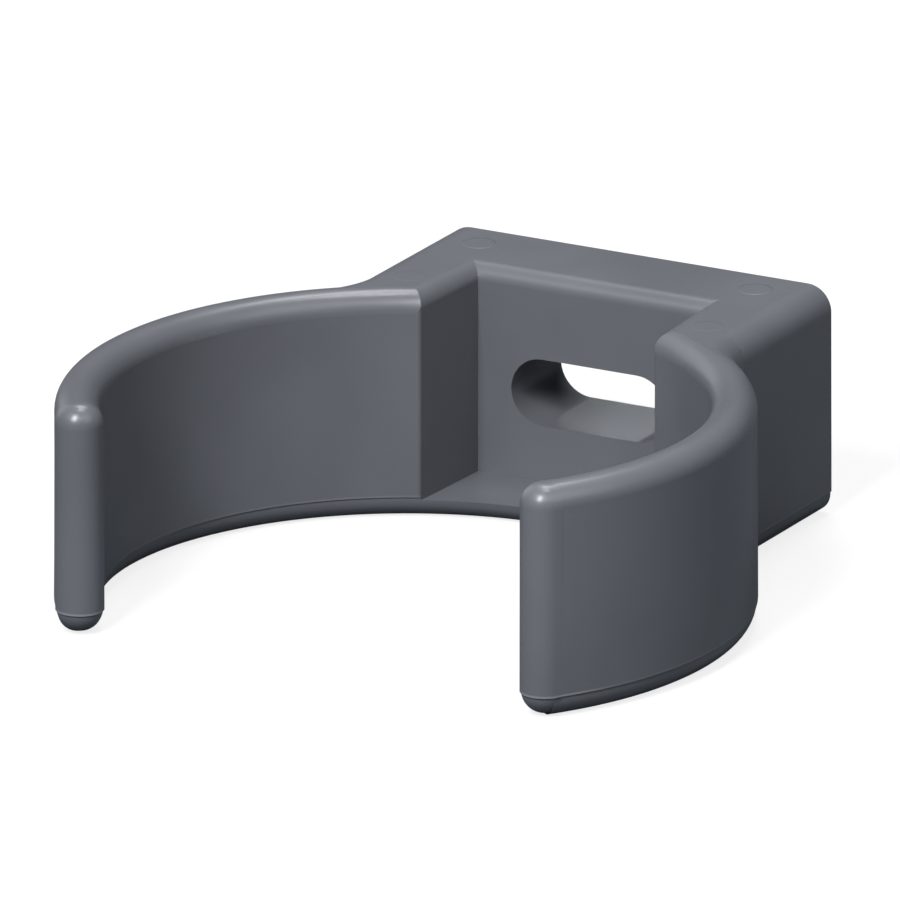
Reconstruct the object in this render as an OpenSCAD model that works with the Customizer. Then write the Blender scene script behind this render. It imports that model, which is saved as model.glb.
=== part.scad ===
// Downpipe clip: a moulded plastic ring, open at the front, on a block that is screwed to a wall.
// A round pipe snaps in through the mouth and is held by two springy arms with rounded tips.
// Units are millimetres. The pipe's axis is Z, the mouth faces -Y and the wall is on the +Y side.
// The origin is on the pipe's axis at half the clip's height.

/* [Ring] */
// outside diameter of the downpipe that the ring grips, which is the ring's inside diameter
pipe_d = 50; // [46:0.5:54]
// wall thickness of both arms at the parting plane
arm_t = 3.86; // [3.5:0.02:4.6]
// angle between the middle of the mouth and the centre of each tip, seen from the pipe's axis
tip_angle = 53.3; // [46:0.5:62]
// how far each rounded tip stands out past its arm's outer face
tip_out = 0.1; // [0.04:0.01:0.3]
// how far each rounded tip presses in past its arm's inner face, to grip the pipe
tip_in = 0.08; // [0.03:0.01:0.09]
// height of the domed tips' lowest points above the underside
tip_lift = 0.12; // [0.06:0.02:0.3]

/* [Wall block] */
// width of the block and of its flat wall face at the parting plane
block_w = 36.4; // [34:0.2:42]
// distance from the pipe's axis to the wall face
wall_y = 40.3; // [38:0.1:46]
// thickness of the plate between the pocket and the wall face
plate_t = 8.7; // [5:0.1:9.5]
// radius of the hollow corner where an arm runs into a flank of the block
blend_r = 7.5; // [5:0.5:12]

/* [Pocket] */
// width of the pocket at the plate
pocket_w = 21; // [15:0.2:22]
// angle by which each side wall of the pocket opens towards the ring
pocket_flare = 3; // [0.5:0.5:5]
// thickness of the web that closes the pocket's underside
web_t = 1.65; // [1:0.05:2.4]
// radius on the pocket's upper edges
pocket_edge_r = 1.4; // [0.6:0.1:2]
// radius on the two upright edges between the pocket and the ring's inside
corner_r = 0.5; // [0.2:0.1:1]

/* [Height and edges] */
// height of the clip along the pipe
clip_h = 19.7; // [16:0.1:28]
// radius on the upper edges of the arms
arm_edge_r = 1.8; // [1.2:0.05:2]
// radius on the upper edges of the block's flanks and of the hollow corners
flank_edge_r = 2.2; // [1.4:0.1:3]
// height of the mould's parting plane above the underside
part_z = 1.9; // [1.4:0.05:2.6]
// how far the half below the parting plane is set back
part_step = 0.1; // [0.05:0.01:0.2]
// angle by which the outer walls above the parting plane lean inwards, so that the part leaves its mould
draft = 0.4; // [0.2:0.1:1]

/* [Fixing slot] */
// height of the slot
slot_h = 5.8; // [4:0.1:7]
// length of the slot from end to end
slot_l = 14.7; // [9:0.1:17]
// height of the slot's centre line above the underside
slot_z = 9.45; // [8:0.05:12]

/* [Hidden] */
$fn = 96;
plastic = [0.29, 0.31, 0.34];
past = 1;                                  // how far a cutter runs past the faces it opens
seat_r = pipe_d / 2;
ring_r = seat_r + arm_t;
mid_r = seat_r + arm_t / 2;
least_flat = 0.02;                         // half the least flat left on top of an arm
top_t = arm_t - (clip_h - part_z) * tan(draft);   // an arm's thickness at the top, without its edges
rim_r = min(arm_edge_r, top_t / 2 - least_flat);
low_r = min(rim_r, part_z) - part_step;    // radius of the edges below the parting plane
low_in = part_step + low_r;
tip_r = (arm_t + tip_out + tip_in) / 2;
tip_x = seat_r - tip_in + tip_r;              // distance from the pipe's axis to a tip's centre
pocket_y = wall_y - plate_t;
flank_x = block_w / 2;
bite = 0.05;                               // how far a hollow corner reaches into the faces that it joins
bulge = 0.005;                             // how far a rounding stands out past its leaning wall
blend_x = flank_x + blend_r - bite;
blend_y = sqrt(pow(ring_r + blend_r - bite, 2) - pow(blend_x, 2));
blend_turn = atan2(blend_y, blend_x);
swept = 360 - 2 * tip_angle;
front_y = seat_r / 2;                      // where the pocket's cutter starts, inside the ring
flare = tan(pocket_flare);

// a rectangle given by two opposite corners
module span(a, b) {
    translate(a) square([b[0] - a[0], b[1] - a[1]]);
}

// cross-section of a wall with a rounded upper and lower edge: x is the distance inwards from the
// wall's face at the parting plane, up to w, and y is the height
module wall_section(w, edge) {
    reach = edge - bulge;
    centre = [(reach + (clip_h - edge - part_z) * sin(draft)) / cos(draft), clip_h - edge];
    polygon([[0, part_z], centre + reach * [-cos(draft), sin(draft)],
             centre, [centre[0], clip_h], [w, clip_h], [w, part_z]]);
    translate(centre) circle(edge);
    span([part_step, low_r], [w, part_z]);
    span([low_in, 0], [w, part_z]);
    translate([low_in, low_r]) circle(low_r);
}

// cross-section of an arm: x is the distance from the pipe's axis, and the face on the pipe is upright
module arm_section() {
    span([seat_r, part_z], [mid_r, clip_h - rim_r]);
    span([seat_r + rim_r, part_z], [mid_r, clip_h]);
    translate([seat_r + rim_r, clip_h - rim_r]) circle(rim_r);
    span([seat_r + part_step, low_r], [mid_r, part_z]);
    span([seat_r + low_in, 0], [mid_r, part_z]);
    translate([seat_r + low_in, low_r]) circle(low_r);
    translate([ring_r, 0]) mirror([1, 0]) wall_section(ring_r - mid_r, rim_r);
}

// cross-section of a tip, from its upright centre line outwards: a dome below the parting plane
module tip_section() {
    dome_w = tip_r - part_step;
    dome_h = part_z - tip_lift;
    dome_r = (pow(dome_w, 2) + pow(dome_h, 2)) / (2 * dome_h);
    span([0, part_z], [tip_r, clip_h - rim_r]);
    span([0, part_z], [tip_r - rim_r, clip_h]);
    intersection() {
        translate([tip_r - rim_r, clip_h - rim_r]) circle(rim_r);
        span([0, part_z], [tip_r, clip_h]);
    }
    intersection() {
        translate([0, tip_lift + dome_r]) circle(dome_r);
        span([0, 0], [tip_r, part_z]);
    }
}

// both arms in one sweep round the back, and the two tips
module ring() {
    rotate([0, 0, tip_angle - 90]) rotate_extrude(angle = swept) arm_section();
    for (side = [-1, 1])
        rotate([0, 0, side * tip_angle - 90]) translate([tip_x, 0, 0]) rotate_extrude() tip_section();
}

// the block from flank to flank, with rounded edges along both, from the ring's middle line to the wall
module block() {
    difference() {
        translate([0, wall_y, 0]) rotate([90, 0, 0]) linear_extrude(wall_y) {
            translate([-flank_x, 0]) wall_section(flank_x, flank_edge_r);
            translate([flank_x, 0]) mirror([1, 0]) wall_section(flank_x, flank_edge_r);
        }
        seat_column();
    }
}

// the hollow corner between a flank and its arm, with rounded edges: side is -1 or 1, and the sweep
// starts in the plane where the corner meets the flank
module corner(side) {
    difference() {
        translate([side * blend_x, blend_y, 0]) rotate([0, 0, side < 0 ? 0 : 180])
            rotate_extrude(angle = side * blend_turn) translate([blend_r, 0]) wall_section(arm_t, flank_edge_r);
        seat_column();
    }
}

// everything inside the ring's middle line, where only the ring itself may stand
module seat_column() {
    translate([0, 0, -past]) cylinder(h = clip_h + 2 * past, r = mid_r);
}

// cross-section of a pocket wall with its rounded upper edge: the pocket is on the -x side of the wall
module wall_cut(reach) {
    span([-reach, web_t], [0, clip_h + past]);
    difference() {
        span([0, clip_h - pocket_edge_r], [pocket_edge_r, clip_h + past]);
        translate([pocket_edge_r, clip_h - pocket_edge_r]) circle(pocket_edge_r);
    }
}

// everything on the pocket's side of the side wall at +X
module side_cut() {
    translate([pocket_w / 2, pocket_y, 0]) rotate([0, 0, pocket_flare])
        translate([0, plate_t / 2, 0]) rotate([90, 0, 0])
            linear_extrude(pocket_y + plate_t) wall_cut(block_w);
}

// the pocket: where both side cuts and the cut in front of the plate meet, so its corners are mitred
module pocket() {
    intersection() {
        side_cut();
        mirror([1, 0, 0]) side_cut();
        translate([-block_w / 2, pocket_y, 0]) rotate([90, 0, 90])
            linear_extrude(block_w) wall_cut(pocket_y - front_y);
    }
}

// the sliver that rounds the upright edge between the pocket's side wall at +X and the ring's inside
module corner_cut() {
    // the side wall is the line x = wall_x - flare * y, and the rounding's centre lies behind it
    depth = corner_r - corner_r / 50;
    wall_x = pocket_w / 2 + pocket_y * flare;
    back_x = wall_x + depth / cos(pocket_flare);
    reach = seat_r + depth;
    // where the line through the centre meets the circle of radius reach round the pipe's axis
    a = 1 + pow(flare, 2);
    b = back_x * flare;
    centre_y = (b + sqrt(pow(b, 2) - a * (pow(back_x, 2) - pow(reach, 2)))) / a;
    centre = [back_x - flare * centre_y, centre_y];
    past_wall = centre - 2 * corner_r * [cos(pocket_flare), sin(pocket_flare)];
    past_seat = centre * (seat_r - corner_r) / reach;
    translate([0, 0, web_t]) linear_extrude(clip_h) difference() {
        polygon([centre, past_wall, past_seat - [corner_r, 0], past_seat]);
        translate(centre) circle(corner_r);
    }
}

// the slot with half-round ends through the plate
module slot() {
    end_x = (slot_l - slot_h) / 2;
    translate([0, wall_y + past, slot_z]) rotate([90, 0, 0]) linear_extrude(plate_t + 2 * past) {
        for (side = [-1, 1])
            translate([side * end_x, 0]) circle(d = slot_h);
        span([-end_x, -slot_h / 2], [end_x, slot_h / 2]);
    }
}

module clip() {
    color(plastic) translate([0, 0, -clip_h / 2]) difference() {
        union() {
            ring();
            block();
            corner(-1);
            corner(1);
        }
        union() {
            pocket();
            corner_cut();
            mirror([1, 0, 0]) corner_cut();
            slot();
        }
    }
}

clip();
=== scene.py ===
"""Looks of the downpipe clip: one moulded piece of anthracite grey plastic on a white studio floor.

Lengths are metres in the shared frame: the pipe's axis is Z, the mouth faces -Y and the wall is on +Y.
"""

import math

import bpy
from mathutils import Matrix, Vector

MM = 0.001

# sizes of the clip that the looks need
CLIP_H = 19.7 * MM                    # height of the clip along the pipe
UNDERSIDE = -CLIP_H / 2
TOP = CLIP_H / 2
PARTING_Z = UNDERSIDE + 1.9 * MM      # height of the mould's parting plane
SEAT_R = 25.0 * MM                    # the ring's inside
TIP_ANGLE = math.radians(53.3)        # from the middle of the mouth to the centre of each rounded tip
TIP_REACH = 1.2 * MM                  # how far past its centre a tip's round face runs into its arm
WALL_Y = 40.3 * MM                    # the wall face
SLOT_Z = UNDERSIDE + 9.45 * MM        # height of the slot's centre line
POCKET_HALF = 12.0 * MM               # a little more than half the pocket's width

# marks of the mould
PIN_MARKS = (                         # prints of the push-out pins on the top: x, y, radius, rise
    (-13.25 * MM, 36.8 * MM, 1.4 * MM, 0.045 * MM),
    (12.8 * MM, 36.8 * MM, 1.4 * MM, 0.045 * MM),
    (-14.0 * MM, 26.2 * MM, 1.3 * MM, 0.025 * MM),
    (14.0 * MM, 26.2 * MM, 1.3 * MM, 0.025 * MM),
)
PIN_EDGE = 0.1 * MM                   # half the width of the slope round a print
PIN_DEPTH = 0.3 * MM                  # how far below the top the prints still count
# the pale line is a painted highlight: a lighter base colour on the edge just above the parting plane
LINE_FOOT = (-0.04 * MM, 0.02 * MM)   # heights above the parting plane where the line starts and is full
LINE_HEAD = (0.24 * MM, 0.12 * MM)    # heights where it has faded, and where it starts to fade
LINE_SHARE = 0.06                     # share of the pale tone in the line
LINE_WAVES = 0.12                     # share that comes and goes along it
LINE_AT_TIP = 0.28                    # share that is added at the tips
TIP_Y = (-12.0 * MM, -16.0 * MM)      # where that addition starts, and where it is full
LINE_GAP = 0.3 * MM                   # how far behind the ring's inside it ends, within the pocket's width
WALL_GAP = 0.1 * MM                   # how far before the wall face it ends

# the plastic's unevenness: scales of three noises, and what they change
SLOW_SCALE, WAVES_SCALE, GRAIN_SCALE = 55.0, 260.0, 5200.0
SLOW_DETAIL, FINE_DETAIL = 3.0, 2.0
TONE_RANGE = (0.3, 0.7)               # values of the slow noise for the darkest and the lightest tone
SHINE, SHINE_SLOW, SHINE_GRAIN = 0.32, 0.08, 0.06
WAVES_RISE, GRAIN_RISE = 0.006 * MM, 0.004 * MM

# colours
PLASTIC_LIGHT = (0.121, 0.128, 0.144, 1.0)
PLASTIC_DARK = (0.104, 0.110, 0.124, 1.0)
PARTING_HIGHLIGHT_TONE = (0.30, 0.31, 0.33, 1.0)
WHITE = (1.0, 1.0, 1.0, 1.0)
FLOOR_WHITE = (0.9, 0.9, 0.9, 1.0)
FLOOR_BOUNCE = (0.09, 0.10, 0.115, 1.0)
ROOM = (0.75, 0.88, 1.0, 1.0)

# the floor and the room
FLOOR_HALF = 3.0                      # half the floor's width
FLOOR_GAP = 0.02 * MM                 # how far it lies below the clip
FLOOR_GLOW = 0.8                      # how little of the shadow the camera sees: 1 is none of it
ROOM_STRENGTH = 0.05

# the lamps: azimuth 0 stands before the mouth and 90 at the right of it
LAMP_REACH = 0.9
LAMPS = (                             # name, azimuth, elevation, width, height, power in watts
    ("key", 0, 45, 0.2, 0.4, 10.4),
    ("overhead", 180, 80, 0.2, 0.2, 2.2),
    ("side", 80, 42, 0.6, 0.6, 2.0),
    ("fill_left", -35, 45, 0.4, 0.4, 0.5),
    ("fill_right", 35, 45, 0.4, 0.4, 1.3),
    ("back", 200, 60, 0.36, 0.1, 2.2),
    ("rear_left", -110, 20, 0.6, 0.6, 0.9),
)
BEAM_AZIMUTH, BEAM_ELEVATION = 207, 19
BEAM_REACH = 0.5
BEAM_R = 6 * MM                       # half the width of the beam where it meets the slot
BEAM_POWER = 0.12
BEAM_SOURCE = 0.003                   # radius of its source
BEAM_BLEND = 0.2
BEAM_TONE = (0.88, 0.91, 1.0)

# the camera of the photograph
VIEW_AZIMUTH = 28.65                  # how far the camera stands round to the right of the mouth
VIEW_ELEVATION = 18.32                # how far it looks down
VIEW_REACH = 1871 * MM                # distance from the pipe's axis
VIEW_RIGHT = 3.60 * MM                # the picture's middle, from the foot of the pipe's axis
VIEW_UP = 13.61 * MM
SENSOR = 36.0
LENS = 912.9
NEAREST, FARTHEST = 0.05, 20.0


class Wire:
    """One output of a material's node tree. Arithmetic on it adds Math nodes and gives new wires."""

    def __init__(self, tree, socket):
        self.tree, self.socket = tree, socket

    def _math(self, operation, *values):
        return self.tree.add("ShaderNodeMath", {"operation": operation}, dict(enumerate(values)))

    def __add__(self, other):
        return self._math("ADD", self, other)

    def __radd__(self, other):
        return self._math("ADD", other, self)

    def __sub__(self, other):
        return self._math("SUBTRACT", self, other)

    def __rsub__(self, other):
        return self._math("SUBTRACT", other, self)

    def __mul__(self, other):
        return self._math("MULTIPLY", self, other)

    def __rmul__(self, other):
        return self._math("MULTIPLY", other, self)

    def __pow__(self, other):
        return self._math("POWER", self, other)

    def __neg__(self):
        return self._math("MULTIPLY", self, -1.0)

    def __abs__(self):
        return self._math("ABSOLUTE", self)

    def most(self, other):
        return self._math("MAXIMUM", self, other)

    def root(self):
        return self._math("SQRT", self)

    def over(self, limit):
        """1 where the value is greater than the limit, or else 0."""
        return self._math("GREATER_THAN", self, limit)

    def ramp(self, low, high):
        """0 at low and 1 at high, smooth in between."""
        return self.tree.add(
            "ShaderNodeMapRange",
            {"interpolation_type": "SMOOTHSTEP"},
            {"Value": self, "From Min": low, "From Max": high},
        )


class Tree:
    """A node tree, filled through one method."""

    def __init__(self, owner):
        owner.use_nodes = True
        self.owner = owner
        self.nodes, self.links = owner.node_tree.nodes, owner.node_tree.links
        self.nodes.clear()

    def add(self, kind, settings=None, inputs=None, output=0):
        """A new node: its settings first, then the values or wires of its sockets. Returns one output."""
        node = self.nodes.new(kind)
        for name, value in (settings or {}).items():
            setattr(node, name, value)
        for name, value in (inputs or {}).items():
            if isinstance(value, Wire):
                self.links.new(value.socket, node.inputs[name])
            else:
                node.inputs[name].default_value = value
        return Wire(self, node.outputs[output] if node.outputs else None)

    def finish(self, surface, end="ShaderNodeOutputMaterial"):
        self.add(end, inputs={"Surface": surface})
        return self.owner

    def vector(self, operation, *values, output="Vector", **named):
        inputs = {**dict(enumerate(values)), **named}
        return self.add("ShaderNodeVectorMath", {"operation": operation}, inputs, output)

    def place(self):
        """Object coordinates as a vector and as three wires."""
        point = self.add("ShaderNodeTexCoord", output="Object")
        split = self.add("ShaderNodeSeparateXYZ", inputs={"Vector": point})
        outputs = split.socket.node.outputs
        return point, Wire(self, outputs["X"]), Wire(self, outputs["Y"]), Wire(self, outputs["Z"])

    def noise(self, point, scale, detail):
        return self.add("ShaderNodeTexNoise", inputs={"Vector": point, "Scale": scale, "Detail": detail})

    def mix(self, share, one, two):
        """Colour one where share is 0 and colour two where it is 1."""
        inputs = {"Factor": share, 6: one, 7: two}
        return self.add("ShaderNodeMix", {"data_type": "RGBA"}, inputs, output=2)


def eased_normal(tree, x, y):
    """The shading normal without the soft crease where each tip's round face runs into its arm.

    Past the tip's centre, the part of the normal that points along the arm is taken away. The arm's own
    faces have no such part, so nothing else changes.
    """
    along = abs(x) * math.cos(TIP_ANGLE) + y * math.sin(TIP_ANGLE)
    past_tip = along.over(0.0) * (TIP_REACH - along).over(0.0) * (-y).over(0.0)
    normal = tree.add("ShaderNodeNewGeometry", output="Normal")
    outwards = tree.add("ShaderNodeCombineXYZ", inputs={"X": x, "Y": y})
    tangent = tree.vector("NORMALIZE", tree.vector("CROSS_PRODUCT", outwards, (0.0, 0.0, 1.0)))
    share = tree.vector("DOT_PRODUCT", normal, tangent, output="Value") * past_tip
    excess = tree.vector("SCALE", tangent, Scale=share)
    return tree.vector("NORMALIZE", tree.vector("SUBTRACT", normal, excess))


def pin_prints(x, y, z):
    """Height in metres of the round prints that stand a hair above the top."""
    relief = 0.0
    for px, py, radius, rise in PIN_MARKS:
        away = ((x - px) ** 2.0 + (y - py) ** 2.0).root()
        relief = relief + away.ramp(radius + PIN_EDGE, radius - PIN_EDGE) * rise
    return relief * z.over(TOP - PIN_DEPTH)


def painted_parting_highlight(x, y, z):
    """1 on the thin edge just above the parting plane where a pale highlight is painted, but not inside the
    pocket or at the wall.
    """
    foot = z.ramp(PARTING_Z + LINE_FOOT[0], PARTING_Z + LINE_FOOT[1])
    head = z.ramp(PARTING_Z + LINE_HEAD[0], PARTING_Z + LINE_HEAD[1])
    behind_seat = (x * x + y * y).root().over(SEAT_R + LINE_GAP) * y.over(0.0)
    in_pocket = (POCKET_HALF - abs(x)).over(0.0) * behind_seat
    at_wall = y.over(WALL_Y - WALL_GAP)
    return foot * head * (1 - in_pocket.most(at_wall))


def moulded_plastic():
    """Satin anthracite plastic with a fine grain, slow changes of tone and shine, the mould's marks, and a
    painted highlight along the edge above the parting plane.
    """
    tree = Tree(bpy.data.materials.new("anthracite_plastic"))
    point, x, y, z = tree.place()
    slow = tree.noise(point, SLOW_SCALE, SLOW_DETAIL)
    grain = tree.noise(point, GRAIN_SCALE, FINE_DETAIL)
    waves = tree.noise(point, WAVES_SCALE, FINE_DETAIL)
    plain = tree.mix(slow.ramp(*TONE_RANGE), PLASTIC_DARK, PLASTIC_LIGHT)
    # painted highlight: a pale tone on the edge above the parting plane, stronger towards the tips
    highlight_share = LINE_SHARE + LINE_WAVES * waves + y.ramp(*TIP_Y) * LINE_AT_TIP
    colour = tree.mix(painted_parting_highlight(x, y, z) * highlight_share, plain, PARTING_HIGHLIGHT_TONE)
    shine = SHINE + (slow - 0.5) * SHINE_SLOW + (grain - 0.5) * SHINE_GRAIN
    relief = grain * GRAIN_RISE + waves * WAVES_RISE + pin_prints(x, y, z)
    bump = tree.add(
        "ShaderNodeBump",
        inputs={"Strength": 1.0, "Distance": 1.0, "Height": relief, "Normal": eased_normal(tree, x, y)},
    )
    surface = tree.add(
        "ShaderNodeBsdfPrincipled",
        inputs={"Base Color": colour, "Roughness": shine, "Normal": bump},
    )
    return tree.finish(surface)


def white_floor():
    """White floor to the camera, with a soft share of the shadow, that throws little light back up."""
    tree = Tree(bpy.data.materials.new("white_floor"))
    seen = tree.add("ShaderNodeLightPath", output="Is Camera Ray")
    tone = tree.mix(seen, FLOOR_BOUNCE, FLOOR_WHITE)
    paint = tree.add("ShaderNodeBsdfDiffuse", inputs={"Color": tone})
    glow = tree.add("ShaderNodeEmission", inputs={"Color": WHITE, "Strength": 1.0})
    surface = tree.add("ShaderNodeMixShader", inputs={"Fac": seen * FLOOR_GLOW, 1: paint, 2: glow})
    return tree.finish(surface)


def floor():
    """A flat square far wider than the clip, just under it."""
    z = UNDERSIDE - FLOOR_GAP
    points = [(-FLOOR_HALF, -FLOOR_HALF, z), (FLOOR_HALF, -FLOOR_HALF, z),
              (FLOOR_HALF, FLOOR_HALF, z), (-FLOOR_HALF, FLOOR_HALF, z)]
    mesh = bpy.data.meshes.new("floor")
    mesh.from_pydata(points, [], [[0, 1, 2, 3]])
    piece = bpy.data.objects.new("floor", mesh)
    bpy.context.scene.collection.objects.link(piece)
    mesh.materials.append(white_floor())


def direction(azimuth, elevation):
    """The unit vector from the pipe's axis towards a lamp or the camera."""
    a, e = math.radians(azimuth), math.radians(elevation)
    return Vector((math.sin(a) * math.cos(e), -math.cos(a) * math.cos(e), math.sin(e)))


def aim(lamp, azimuth, elevation, reach, target):
    """Puts a lamp at this distance from its target and turns it there."""
    back = direction(azimuth, elevation)
    lamp.location = Vector(target) + back * reach
    lamp.rotation_mode = "QUATERNION"
    lamp.rotation_quaternion = (-back).to_track_quat("-Z", "Y")
    bpy.context.scene.collection.objects.link(lamp)


def softbox(name, azimuth, elevation, width, height, power):
    """A soft lamp that looks at the clip."""
    data = bpy.data.lights.new(name, "AREA")
    data.shape = "RECTANGLE"
    data.size, data.size_y, data.energy = width, height, power
    aim(bpy.data.objects.new(name, data), azimuth, elevation, LAMP_REACH, (0.0, 0.0, 0.0))


def through_slot():
    """A weak narrow beam from behind that only brings the backdrop's sheen to the slot's lower face."""
    data = bpy.data.lights.new("through_slot", "SPOT")
    data.energy, data.shadow_soft_size, data.color = BEAM_POWER, BEAM_SOURCE, BEAM_TONE
    data.spot_size, data.spot_blend = 2 * math.atan(BEAM_R / BEAM_REACH), BEAM_BLEND
    lamp = bpy.data.objects.new("through_slot", data)
    aim(lamp, BEAM_AZIMUTH, BEAM_ELEVATION, BEAM_REACH, (0.0, WALL_Y, SLOT_Z))


def surroundings():
    """An even grey room that the camera sees as white."""
    tree = Tree(bpy.data.worlds.new("room"))
    seen = tree.add("ShaderNodeLightPath", output="Is Camera Ray")
    room = tree.add("ShaderNodeBackground", inputs={"Color": ROOM, "Strength": ROOM_STRENGTH})
    white = tree.add("ShaderNodeBackground", inputs={"Color": WHITE})
    sky = tree.add("ShaderNodeMixShader", inputs={"Fac": seen, 1: room, 2: white})
    bpy.context.scene.world = tree.finish(sky, "ShaderNodeOutputWorld")


def camera():
    """The photograph's long-lens view from above and in front of the mouth."""
    a = math.radians(VIEW_AZIMUTH)
    back = direction(VIEW_AZIMUTH, VIEW_ELEVATION)
    right = Vector((math.cos(a), math.sin(a), 0.0))
    up = back.cross(right)
    data = bpy.data.cameras.new("camera")
    data.sensor_width, data.lens = SENSOR, LENS
    data.clip_start, data.clip_end = NEAREST, FARTHEST
    body = bpy.data.objects.new("camera", data)
    foot = Vector((0.0, 0.0, UNDERSIDE))
    body.location = foot + right * VIEW_RIGHT + up * VIEW_UP + back * VIEW_REACH
    body.rotation_mode = "QUATERNION"
    body.rotation_quaternion = Matrix((right, up, back)).transposed().to_quaternion()
    bpy.context.scene.collection.objects.link(body)
    bpy.context.scene.camera = body


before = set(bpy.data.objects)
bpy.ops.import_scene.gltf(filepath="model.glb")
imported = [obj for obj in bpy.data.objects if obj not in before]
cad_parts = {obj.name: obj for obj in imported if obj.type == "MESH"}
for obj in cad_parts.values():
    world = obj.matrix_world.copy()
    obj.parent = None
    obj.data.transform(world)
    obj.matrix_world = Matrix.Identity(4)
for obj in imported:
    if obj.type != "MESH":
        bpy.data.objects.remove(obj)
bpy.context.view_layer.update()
bpy.context.scene.view_settings.view_transform = "Standard"
camera()
floor()
surroundings()
for lamp in LAMPS:
    softbox(*lamp)
through_slot()
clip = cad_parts["clip"]
clip.data.materials.clear()
clip.data.materials.append(moulded_plastic())
